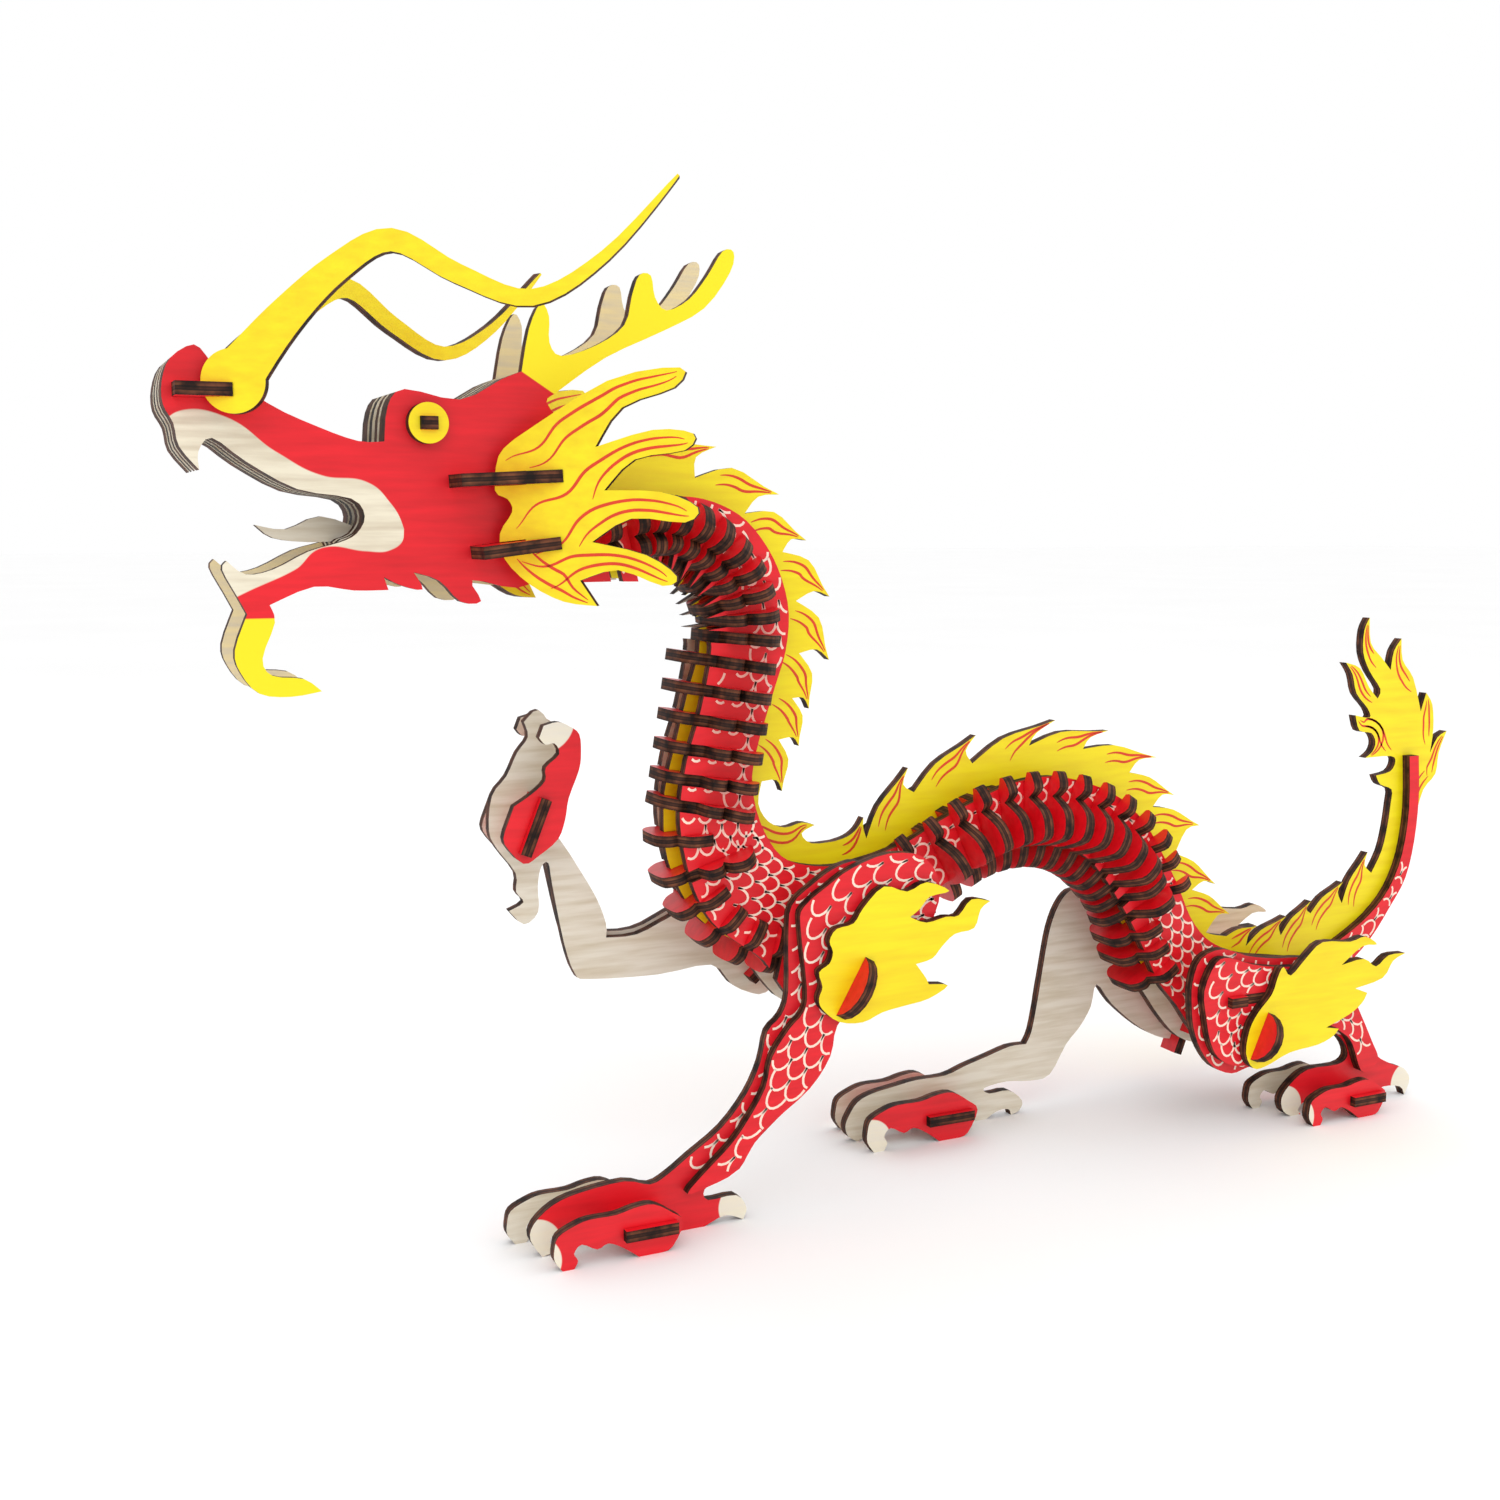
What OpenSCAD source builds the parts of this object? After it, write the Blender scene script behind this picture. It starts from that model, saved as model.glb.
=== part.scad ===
// Slot-together plywood dragon.
// Flat laser-cut boards, all one thickness, locked by half-lap slots and cross bars.
// +X runs from the nose to the tail, -Y is the dragon's left, Z = 0 is the table.

/* [Boards] */
// Thickness of every plywood board
ply = 3; // [2.6:0.1:3.2]
// Free play on each side of a slot
play = 0.05; // [0.02:0.01:0.15]
// Straight pieces per stretch of a curved edge
edge_steps = 3; // [2:1:6]

/* [Body] */
// Distance from the middle plane to the inner face of the body side boards
body_gap = 6.5; // [6:0.1:7]
// Spacing of the neck ribs along the crest
neck_pitch = 7.8; // [7.6:0.1:7.9]
// Spacing of the back ribs along the crest
back_pitch = 9.2; // [8.8:0.1:9.4]
// Width of the wings of a neck rib over both sides
neck_rib_width = 37; // [34:1:40]
// Width of the wings of a back rib over both sides
back_rib_width = 40; // [36:1:42]

/* [Head] */
// Distance from the middle plane to the inner face of the head side boards
head_gap = 9.5; // [9.5:0.1:10.5]
// Angle of each whisker away from the head
whisker_splay = 22.5; // [18:0.5:26]
// How much lower the right whisker sits in its slot
whisker_droop = 3.5; // [0:0.5:4]
// Angle of each mane board away from the head
mane_splay = 30; // [26:1:32]
// Diameter of the eye rings
eye_d = 9.4; // [8:0.1:11]

/* [Legs] */
// Distance from the middle plane to the inner face of the leg boards
leg_gap = 17; // [16:0.1:17]
// Distance from a leg board to the claw boards beside it
claw_gap = 7; // [6:0.1:7.4]
// Height of the arc that each peg shows outside its flame
peg_bulge = 6.6; // [4:0.1:8]

/* [Hidden] */

left = -1;
right = 1;
red = [0.91, 0.10, 0.16];
yellow = [0.96, 0.89, 0.00];
wood = [0.88, 0.84, 0.78];
ivory = [0.93, 0.89, 0.75];

// Where the outer boards of each stack begin
outer_leg_gap = leg_gap + ply;
flame_gap = outer_leg_gap + ply;
claw_inner_gap = leg_gap - claw_gap - ply;
claw_outer_gap = leg_gap + ply + claw_gap;

// ---------- curves ----------

// A point [x, z] is smooth and a point [x, z, 1] is a sharp corner
function flat2(p) = [p[0], p[1]];
function sharp(p) = len(p) > 2;
function spline(a, b, c, d, t) =
    0.5 * (2 * b + (c - a) * t + (2 * a - 5 * b + 4 * c - d) * t * t
           + (3 * b - a - 3 * c + d) * t * t * t);

// Closed smooth outline through the points
function loop_through(p, n = edge_steps) =
    let (m = len(p))
    [for (i = [0 : m - 1])
        let (a = p[i], b = p[(i + 1) % m],
             before = sharp(a) ? a : p[(i + m - 1) % m],
             after = sharp(b) ? b : p[(i + 2) % m],
             steps = sharp(a) && sharp(b) ? 1 : n)
        for (k = [0 : steps - 1])
            spline(flat2(before), flat2(a), flat2(b), flat2(after), k / steps)];

// Open smooth line through the points
function line_through(p, n = 8) =
    let (last = len(p) - 1)
    concat([for (i = [0 : last - 1], k = [0 : n - 1])
        spline(p[max(i - 1, 0)], p[i], p[i + 1], p[min(i + 2, last)], k / n)], [p[last]]);

// Place and heading at a fractional index along a line
function place(line, f) =
    let (i = floor(f), j = min(i + 1, len(line) - 1)) line[i] + (f - i) * (line[j] - line[i]);
function heading(line, f) =
    let (a = place(line, max(f - 1, 0)), b = place(line, min(f + 1, len(line) - 1)))
    atan2(b[1] - a[1], b[0] - a[0]);

// The same line moved sideways towards the crest
function crest_line(line, off) =
    [for (i = [0 : len(line) - 1])
        let (h = heading(line, i)) line[i] + off * [-sin(h), cos(h)]];
function lengths(line) =
    [for (i = 0, s = 0; i < len(line);
          s = s + (i + 1 < len(line) ? norm(line[i + 1] - line[i]) : 0), i = i + 1) [s, i]];
// Fractional indices of ribs evenly spaced along the crest
function stations(line, off, start, pitch, count) =
    let (table = lengths(crest_line(line, off)))
    [for (k = [0 : count - 1]) lookup(start + k * pitch, table)];

// ---------- spine and rib stations ----------

// Each spine is a chain of arcs joined by straight stretches, with points about a step apart
spine_step = 1.4;
function arc(centre, r, from, to) =
    let (n = ceil(abs(to - from) * PI / 180 * r / spine_step))
    [for (k = [0 : n]) let (a = from + (to - from) * k / n) centre + r * [cos(a), sin(a)]];
function joined(a, b) =
    let (p = a[len(a) - 1], q = b[0], n = ceil(norm(q - p) / spine_step))
    concat(a, [for (k = [1 : n - 1]) p + (q - p) * k / n], b);

// The neck comes from the head, bends over and down, and bends again into the chest
neck_bend = arc([-85, 154], 27, 100, -15);
chest_bend = arc([-42, 101], 24, 165, 270);
neck_spine = joined([[-108, 176]], joined(neck_bend, joined(chest_bend, [[-34, 77]])));
// The back is one wide arch that runs out into the hip
back_arch = arc([30, 50], 50, 118, 25);
hip_bend = arc([112, 70], 33, 205, 270);
back_spine = joined([[-28, 74]], joined(back_arch, hip_bend));

// Distance along the crest from the start of each spine to its first rib
neck_start = 11;
back_start = 14.5;
neck_count = 18;
back_count = 15;
neck_at = stations(neck_spine, 11, neck_start, neck_pitch, neck_count);
back_at = stations(back_spine, 13, back_start, back_pitch, back_count);
// Short ribs that fill the widening gaps on the throat side of the bends
chest_at = [
    (neck_at[16] + neck_at[17]) / 2, neck_at[17] + 4.5, neck_at[17] + 9, neck_at[17] + 13.5,
    neck_at[17] + 18];
hip_at = [back_at[14] + 5, back_at[14] + 10, back_at[14] + 15];
narrow_to = 1;
narrow_from = 13;
narrow_rib_width = 2 * leg_gap - 1;
// Depth of a half-lap, measured from the spine towards the belly
full_lap = 0;
short_lap = 7.5;

// Cross bars: [x, z, width, pitch angle] of the lower front corner
nose_bar_at = [-198, 208.7, 12, 0];
mane_upper_at = [-137, 189.6, 25, 3];
mane_lower_at = [-132, 173, 20, 7];
hip_bar_at = [92, 39, 16, 0];
// Short tabs in the right inner leg boards
shoulder_tab_at = [-46, 53, 12, 41];
hip_tab_at = [105, 12, 15, 69];
eye_bar_at = [-144.3, 202.8, 4, 0];
// Pegs: [middle x, middle z, chord, lean]
shoulder_peg_at = [-35.3, 60.5, 17, 60];
hip_peg_at = [103.2, 29.1, 15, 66];

// ---------- building blocks ----------

// A board that stands in the X-Z plane, from y0 to y0 + ply
module board(y0) {
    translate([0, y0 + ply, 0]) rotate([90, 0, 0]) linear_extrude(height = ply) children();
}

// A board on one side, with its inner face at the given distance from the middle plane
module side_board(side, gap) {
    board(side > 0 ? gap : -gap - ply) children();
}

// A board hinged away from the head about an upright line
module splayed_board(side, x, y, angle) {
    translate([x, side * y, 0]) rotate([0, 0, side * angle]) board(side > 0 ? -ply : 0) children();
}

module outline(points) {
    polygon(loop_through(points));
}

// Slot through an upright board for a cross bar, a peg, or a rib's half-lap
module bar_slot(bar, extra = 0) {
    translate([bar[0], bar[1]]) rotate(bar[3]) translate([-play, -play])
        square([bar[2] + extra + 2 * play, ply + 2 * play]);
}
module peg_slot(peg) {
    translate([peg[0], peg[1]]) rotate(peg[3])
        square([peg[2] + 2 * play, ply + 2 * play], center = true);
}
module rib_slots(line, at, lap) {
    reach = 18;
    for (f = at) translate(place(line, f)) rotate(heading(line, f))
        translate([-ply / 2 - play, -reach]) square([ply + 2 * play, reach - lap + play]);
}

// A flat bar across the dragon, drawn as seen from above
module cross_bar(bar) {
    translate([bar[0], 0, bar[1]]) rotate([0, -bar[3], 0]) linear_extrude(height = ply) children();
}

// A peg board whose two ends are arcs that show outside the flames
module peg(at) {
    half = flame_gap + ply;
    radius = (pow(at[2] / 2, 2) + pow(peg_bulge, 2)) / (2 * peg_bulge);
    angle = asin(at[2] / 2 / radius);
    arc = [for (k = [0 : 8]) let (t = angle - 2 * angle * k / 8)
        [radius * sin(t), half + peg_bulge - radius + radius * cos(t)]];
    translate([at[0], 0, at[1]]) rotate([0, -at[3], 0]) translate([0, 0, -ply / 2])
        linear_extrude(height = ply)
            polygon(concat(arc, [for (p = arc) [-p[0], -p[1]]]));
}

// ---------- ribs ----------

// Half outlines of ribs: [towards the belly, sideways as a share of the half width]
neck_wing = [
    [-7, 0.2, 1], [-7, 0.45], [-8, 0.55, 1], [-6, 0.8], [-2, 1], [1, 0.9], [2, 0.7, 1], [4, 0.85],
    [7, 0.8], [8, 0.45, 1]];
// In the tight bend behind the head the wings are shorter towards the throat
tight_wing = [
    [-7, 0.2, 1], [-7, 0.45], [-8, 0.55, 1], [-6, 0.8], [-2, 1], [1, 0.9], [2, 0.7, 1], [4, 0.8],
    [6, 0.7], [7, 0.4, 1]];
throat_lobe = [[10, 0.4], [13, 0.45], [16, 0.35], [17, 0.2]];
tight_lobe = [[9, 0.4], [11, 0.2]];
back_wing = [
    [-8, 0.2, 1], [-8, 0.45], [-12, 0.55, 1], [-12, 0.65], [-8, 0.75], [-5, 0.6, 1], [-2, 0.9], [2, 1],
    [6, 0.95], [9, 0.6, 1], [10, 0.4, 1], [14, 0.35], [17, 0.2]];
// The short rib has only the belly lobe and two small shoulders
short_wing = [
    [3, 0.55, 1], [4, 0.64], [9, 0.64], [11, 0.5, 1], [12, 0.4, 1], [14, 0.42], [16, 0.34], [17, 0.2]];

function widened(p, w) = sharp(p) ? [p[0], p[1] * w, 1] : [p[0], p[1] * w];
function both_sides(half, w) =
    concat([for (p = half) widened(p, w)],
           [for (i = [len(half) - 1 : -1 : 0]) widened(half[i], -w)]);

// One rib standing across the spine, with half-lap slots for three boards
module rib(line, f, half, width, lap) {
    reach = 20;
    p = place(line, f);
    translate([p[0], 0, p[1]]) rotate([0, 90 - heading(line, f), 0]) translate([0, 0, -ply / 2])
        linear_extrude(height = ply) difference() {
            outline(both_sides(half, width / 2));
            translate([-reach, -ply / 2 - play]) square([reach + lap + play, ply + 2 * play]);
            for (s = [left, right])
                translate([-reach, (s > 0 ? body_gap : -body_gap - ply) - play])
                    square([reach + lap + play, ply + 2 * play]);
        }
}

// The first ribs, hidden by the mane, have no throat lobe, and in the bend every second one has
bare_to = 3;
tight_to = 10;
function neck_half(k) =
    k < bare_to ? neck_wing :
    k <= tight_to ? (k % 2 == 0 ? concat(tight_wing, tight_lobe) : tight_wing) :
    concat(neck_wing, throat_lobe);

module neck_ribs(from, to) {
    color(red) for (k = [from : to])
        rib(neck_spine, neck_at[k], neck_half(k), neck_rib_width, full_lap);
}
module chest_ribs() {
    color(red) for (f = chest_at)
        rib(neck_spine, f, short_wing, neck_rib_width, short_lap);
}
module back_ribs(from, to) {
    // The first and last ribs are narrower, to clear the legs
    function width(k) = k > narrow_to && k < narrow_from ? back_rib_width : narrow_rib_width;
    color(red) for (k = [from : to])
        rib(back_spine, back_at[k], back_wing, width(k), full_lap);
}
module hip_ribs() {
    color(red) for (f = hip_at)
        rib(back_spine, f, short_wing, back_rib_width, short_lap);
}

// ---------- middle boards with the crest ----------

// One lick of flame: out from a root to its tip with a bulge, and back through a hollow under the tip,
// which lies mostly near the tip
function beside(a, b, along, out) = a + along * (b - a) + out * [-(b - a)[1], (b - a)[0]];
function lick(root, tip, next, bulge) = [
    [root[0], root[1], 1],
    beside(root, tip, 0.4, bulge),
    beside(root, tip, 0.8, 0.3 * bulge),
    [tip[0], tip[1], 1],
    0.15 * root + 0.6 * tip + 0.25 * next];
function licks(roots, tips, bulge) =
    [for (i = [0 : len(tips) - 1]) each lick(roots[i], tips[i], roots[i + 1], bulge)];

front_roots = [
    [-92, 196], [-70, 193], [-56, 184], [-45, 174], [-41, 161], [-40, 147], [-42, 135], [-46, 124],
    [-51, 114]];
front_tips = [
    [-64, 201], [-46, 189], [-38, 177], [-31, 162], [-31, 145], [-37, 132], [-40, 122], [-45, 110]];
mid_roots = [
    [-19, 95], [-4, 107], [15, 114], [34, 118], [53, 116], [70, 108], [79, 97], [88, 82],
    [95, 70], [101, 56]];
mid_tips = [
    [-6, 114], [16, 122], [43, 125], [62, 121], [80, 112], [87, 100], [97, 90], [104, 71],
    [110, 61]];
tail_roots = [[109, 54], [117, 50], [131, 52], [143, 58], [156, 60], [168, 69]];
tail_tips = [[121, 56], [133, 58], [143, 62], [156, 67], [166, 76]];

seam_front = -29;
seam_rear = 109;

module crest_front() {
    color(yellow) board(-ply / 2) difference() {
        outline(concat(
            [[-134, 183, 1], [-124, 187], [-112, 189], [-103, 193]],
            licks(front_roots, front_tips, 0.18),
            [[-51, 113, 1], [-52, 107], [-49, 102], [-44, 100], [-39, 101], [-35, 100, 1], [-39, 98],
             [-36, 95], [seam_front, 95, 1], [seam_front, 70, 1], [-44, 69], [-55, 69], [-62, 72],
             [-70, 78], [-76, 88], [-79, 98], [-79, 112], [-76, 124], [-72, 139], [-69, 149],
             [-70, 158], [-76, 165], [-86, 167], [-98, 168], [-122, 168], [-130, 168], [-135, 174]]));
        bar_slot(mane_lower_at);
        rib_slots(neck_spine, neck_at, full_lap);
        rib_slots(neck_spine, chest_at, short_lap);
    }
}

module crest_mid() {
    color(yellow) board(-ply / 2) difference() {
        outline(concat(
            [[seam_front, 70, 1]],
            [[seam_front, 95, 1], [-25, 96], [-22, 98], [-20, 101, 1], [-20, 98]],
            licks(mid_roots, mid_tips, 0.08),
            [[101, 56, 1], [104, 55], [seam_rear, 54, 1], [seam_rear, 42, 1], [91, 42, 1],
             [86, 41], [80, 44], [75, 51], [70, 60], [64, 70], [57, 79], [48, 85], [37, 88],
             [26, 87.5], [12, 83.5], [-2, 77], [-14, 72]]));
        rib_slots(back_spine, back_at, full_lap);
        rib_slots(back_spine, hip_at, short_lap);
    }
}

module crest_tail() {
    color(yellow) board(-ply / 2) difference() {
        outline(concat(
            [[seam_rear, 42, 1]],
            licks(tail_roots, tail_tips, 0.08),
            [[168, 69, 1], [172, 76], [174, 84], [175, 92, 1], [182, 92, 1], [181, 80],
             [178, 68], [173, 58], [164, 48], [152, 40], [138, 34], [124, 32], [112, 35],
             [103, 37, 1], [101, 33, 1], [96, 33, 1], [96, 42, 1]]));
        bar_slot(hip_bar_at);
    }
}

module tail_flame() {
    color(yellow) board(-ply / 2) outline([
        [175, 92, 1], [175, 96], [170, 98], [168, 101, 1], [174, 102], [176, 105], [174, 107],
        [163, 107, 1], [166, 109], [167, 112], [165, 115], [160, 116], [158, 121, 1], [164, 120],
        [163, 123], [158, 128], [156, 134], [153, 138, 1], [159, 136], [163, 130], [167, 126, 1],
        [168, 129], [163, 135], [160, 141], [160, 148], [162, 152, 1], [163, 144], [168, 139],
        [172, 135, 1], [173, 141], [176, 145, 1], [177, 138], [182, 132], [186, 121, 1],
        [188, 127, 1], [191, 123], [192, 115], [191, 107, 1], [194, 112], [198, 114, 1], [195, 107],
        [194, 100], [189, 95], [186, 86, 1], [183, 92, 1], [182, 92, 1]]);
}

// ---------- side boards of the body ----------

module neck_side(side) {
    color(red) side_board(side, body_gap) difference() {
        outline([
            [-133, 178], [-127, 185], [-112, 186], [-96, 187], [-84, 188], [-74, 188], [-66, 186],
            [-59, 182], [-53, 175], [-49, 167], [-47, 158], [-48, 148], [-51, 139], [-57, 120],
            [-57, 110], [-54, 101], [-49, 94], [-42, 91], [-32, 90], [-20, 92, 1], [-20, 58, 1],
            [-30, 50], [-40, 49], [-48, 57], [-54, 66], [-62, 72], [-69, 78], [-74, 87], [-77, 98],
            [-78, 108], [-76, 121], [-72, 134], [-69, 150], [-72, 159], [-78, 165], [-88, 167],
            [-114, 167], [-127, 168], [-133, 172]]);
        bar_slot(mane_lower_at);
        peg_slot(shoulder_peg_at);
        rib_slots(neck_spine, neck_at, full_lap);
        rib_slots(neck_spine, chest_at, short_lap);
    }
}

module back_side(side) {
    color(red) side_board(side, body_gap) difference() {
        outline([
            [-20, 92, 1], [-10, 95], [0, 100], [12, 105], [24, 109], [37, 110], [50, 107], [61, 102],
            [70, 94], [77, 84], [83, 74], [88, 64], [94, 57], [101, 53], [110, 50], [122, 48],
            [134, 46, 1], [134, 32], [124, 22], [108, 18], [98, 21], [90, 29], [84, 37], [77, 45],
            [72, 54], [67, 63], [61, 72], [55, 80], [47, 87], [36, 90], [25, 90], [12, 86], [-2, 80],
            [-12, 70], [-20, 58, 1]]);
        peg_slot(hip_peg_at);
        bar_slot(hip_bar_at);
        rib_slots(back_spine, back_at, full_lap);
        rib_slots(back_spine, hip_at, short_lap);
    }
}

module tail_side(side) {
    color(red) side_board(side, ply / 2) outline([
        [115, 44], [136, 44], [146, 46], [155, 50], [165, 56], [173, 64], [178, 75], [180, 90],
        [179, 107, 1], [183, 107, 1], [184, 93], [183, 79], [180, 67], [174, 58], [166, 48],
        [156, 40], [144, 34], [130, 31], [118, 33], [112, 38]]);
}

// ---------- head ----------

brow = [
    [-200, 212], [-198, 217], [-193, 220], [-190, 217, 1], [-178, 208], [-167, 203], [-158, 200],
    [-152, 200, 1], [-151, 208], [-147, 212], [-134, 210], [-124, 215]];
antler = [
    [-119, 217, 1], [-117, 227], [-114, 233], [-112, 230], [-112, 224], [-109, 221], [-100, 224],
    [-93, 229], [-91, 236], [-89, 241], [-86, 241], [-85, 236], [-82, 233], [-76, 236], [-71, 242],
    [-67, 248], [-64, 248], [-65, 243], [-72, 234], [-83, 228], [-98, 221], [-111, 212, 1]];
cheek = [
    [-113, 210], [-109, 205, 1], [-106, 197], [-105, 188], [-108, 178], [-114, 170], [-121, 166],
    [-132, 168], [-130, 163], [-135, 163], [-140, 168], [-146, 170, 1], [-144, 166], [-149, 167],
    [-153, 169, 1], [-152, 166, 1], [-160, 166], [-169, 167], [-179, 163, 1]];
beard = [
    [-178, 159], [-181, 151], [-179, 147], [-172, 146], [-168, 143, 1], [-175, 142], [-182, 143],
    [-186, 148], [-187, 153], [-184, 161, 1]];
lower_jaw = [
    [-186, 165], [-189, 171], [-188, 173, 1], [-184, 170], [-178, 171], [-170, 175], [-163, 177]];
upper_jaw = [
    [-159, 179], [-157, 183], [-160, 187], [-172, 189], [-183, 195], [-190, 200], [-193, 197],
    [-193, 193, 1], [-197, 198], [-198, 203], [-200, 207]];

module head_side(side) {
    color(red) side_board(side, head_gap) difference() {
        outline(concat(brow, antler, cheek, beard, lower_jaw, upper_jaw));
        bar_slot(nose_bar_at);
        bar_slot(mane_upper_at);
        bar_slot(mane_lower_at);
        bar_slot(eye_bar_at);
    }
}

// Stiffening boards inside the head: the same snout and brow, without antlers and jaw
inner_back = [
    [-119, 216], [-117, 210], [-117, 200], [-120, 192], [-128, 189], [-136, 187], [-142, 181],
    [-148, 174], [-154, 172]];
module head_inner_outline() {
    difference() {
        outline(concat(brow, inner_back, [[-160, 174], [-163, 177]], upper_jaw));
        bar_slot(nose_bar_at);
        bar_slot(mane_upper_at);
        bar_slot(eye_bar_at);
    }
}
module head_inner(side) {
    color(wood) side_board(side, head_gap - ply) head_inner_outline();
}
module head_core() {
    color(wood) for (s = [left, right]) side_board(s, ply / 2) head_inner_outline();
}
module tongue() {
    color(wood) board(-ply / 2) outline([
        [-180, 181, 1], [-173, 180], [-165, 183], [-155, 180], [-148, 180], [-146, 177], [-150, 174],
        [-159, 177], [-168, 177], [-176, 178]]);
}

nose_reach = 18.5;
mane_reach = 24;
whisker_x = -196;
whisker_y = 14;
mane_x = -123.5;
mane_y = 17.6;
// Where each half-lap meets, measured along the splayed board from its upright line
whisker_lap = 8;
mane_lap = 3.5;

// The cut that a splayed board makes in the end of its bar, seen from above
module splay_cut(bar, side, x, y, angle, lap) {
    cut = 40;
    // A sloping bar leans against the splayed board, so its cut is a little wider
    room = play + 2 * ply * sin(bar[3]) * sin(angle);
    translate([x, side * y]) rotate(side * angle)
        translate([lap - play, (side > 0 ? -ply : 0) - room]) square([cut, ply + 2 * room]);
}
// The matching cut in the splayed board, open to the front
module bar_cut(bar, x, angle, lap) {
    cut = 40;
    slope = atan(tan(bar[3]) * cos(angle));
    rise = (x - bar[0]) * tan(bar[3]);
    // The sloping bar rises a little between the two faces of the splayed board
    room = play + ply * sin(angle) * tan(bar[3]);
    translate([0, bar[1] + rise - room]) rotate(slope)
        translate([lap - cut, 0]) square([cut + play, ply / cos(bar[3]) + 2 * room]);
}

module nose_bar() {
    color(red) cross_bar(nose_bar_at) translate([-nose_bar_at[0], 0]) difference() {
        translate([nose_bar_at[0], -nose_reach]) square([nose_bar_at[2], 2 * nose_reach]);
        for (s = [left, right]) splay_cut(nose_bar_at, s, whisker_x, whisker_y, whisker_splay, whisker_lap);
    }
}

// A whisker is a ribbon that tapers along an S-shaped line, with a round root
whisker_line = line_through([
    [11, 212], [22, 225], [34, 236], [46, 242], [60, 235], [76, 230], [92, 239], [108, 256]], 5);
whisker_root_r = 7;
// The ribbon leaves the root a little narrower than the round and ends in a blunt tip
ribbon_start = 6;
blunt_tip = 0.3;
whisker_mid = 2.3;
function whisker_half(t) =
    blunt_tip + (whisker_mid - blunt_tip + (ribbon_start - whisker_mid) * pow(1 - t, 5)) * (1 - pow(t, 4));
function ribbon_edge(side) =
    let (last = len(whisker_line) - 1)
    [for (i = [0 : last])
        let (h = heading(whisker_line, i), w = side * whisker_half(i / last))
            whisker_line[i] + w * [-sin(h), cos(h)]];
module whisker_shape() {
    upper = ribbon_edge(1);
    lower = ribbon_edge(-1);
    translate(whisker_line[0]) circle(r = whisker_root_r);
    polygon(concat(upper, [for (i = [len(lower) - 1 : -1 : 0]) lower[i]]));
}
whisker_turn = [8, 210];
module whisker(side) {
    color(yellow) splayed_board(side, whisker_x, whisker_y, whisker_splay) difference() {
        translate(whisker_turn) rotate(side > 0 ? -whisker_droop : 0)
            translate(-whisker_turn) whisker_shape();
        bar_cut(nose_bar_at, whisker_x, whisker_splay, whisker_lap);
    }
}

// A lock of the mane runs out to a round tip and back to the next root
mane_roots = [[1, 201], [20, 199], [22, 189], [19, 177], [16, 168]];
mane_tips = [[40, 217], [43, 202], [44, 185], [39, 169]];
mane_bulge = 0.09;
function lock(root, tip, next) = [
    [root[0], root[1], 1],
    beside(root, tip, 0.6, mane_bulge),
    tip,
    beside(tip, next, 0.15, mane_bulge),
    beside(tip, next, 0.6, -mane_bulge)];
mane_outline = concat(
    [[-4, 189], [-3, 197]],
    [for (i = [0 : len(mane_tips) - 1]) each lock(mane_roots[i], mane_tips[i], mane_roots[i + 1])],
    [[16, 168, 1], [20, 162, 1], [12, 163], [4, 167], [-2, 173], [-3, 179], [0, 184], [-1, 187]]);
module mane(side) {
    color(yellow) splayed_board(side, mane_x, mane_y, mane_splay) difference() {
        outline(mane_outline);
        bar_cut(mane_upper_at, mane_x, mane_splay, mane_lap);
        bar_cut(mane_lower_at, mane_x, mane_splay, mane_lap);
    }
}
module mane_bar(bar) {
    color(red) cross_bar(bar) translate([-bar[0], 0]) difference() {
        translate([bar[0], -mane_reach]) square([bar[2], 2 * mane_reach]);
        for (s = [left, right]) splay_cut(bar, s, mane_x, mane_y, mane_splay, mane_lap);
    }
}

eye_reach = head_gap + 2 * ply + 1.2;
module eye_ring(side) {
    color(yellow) side_board(side, head_gap + ply) difference() {
        translate([eye_bar_at[0] + eye_bar_at[2] / 2, eye_bar_at[1] + ply / 2]) circle(d = eye_d);
        bar_slot(eye_bar_at);
    }
}
module eye_bar() {
    color(red) cross_bar(eye_bar_at)
        translate([0, -eye_reach]) square([eye_bar_at[2], 2 * eye_reach]);
}

// ---------- legs ----------

// Side view of a claw board: toe claw at x = 0, heel at x = 34, sole on z = 0
paw = [
    [0, 6], [1, 9], [5, 11], [9, 12], [16, 12], [21, 13], [26, 13], [31, 10], [34, 7], [31, 1],
    [28, 0, 1], [22, 0, 1], [18, 3], [14, 5], [11, 4], [7, 6], [5, 4], [6, 2], [5, 0, 1], [2, 0, 1],
    [0, 3]];
// Bar through the three boards of a foot, in the claw board's own frame
foot_bar_at = [18, 5, 14];

// Feet: [toe x, toe z, scale, turn, how much further forward the inner claw board stands]
front_left_foot = [-120, 0, 1, 0, 6];
front_right_foot = [-108, 132, 1.1, -112, 0];
rear_left_foot = [119, 0, 0.9, 0, 6];
rear_right_foot = [-13, 0, 1.1, 0, 0];

module on_foot(foot) {
    translate([foot[0], foot[1]]) rotate(foot[3]) children();
}
function foot_bar_of(foot) =
    [foot_bar_at[0] * foot[2], foot_bar_at[1] * foot[2], foot_bar_at[2] * foot[2], 0];
function narrow_bar_of(foot) =
    let (bar = foot_bar_of(foot)) [bar[0], bar[1], bar[2] - foot[4], 0];

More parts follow.
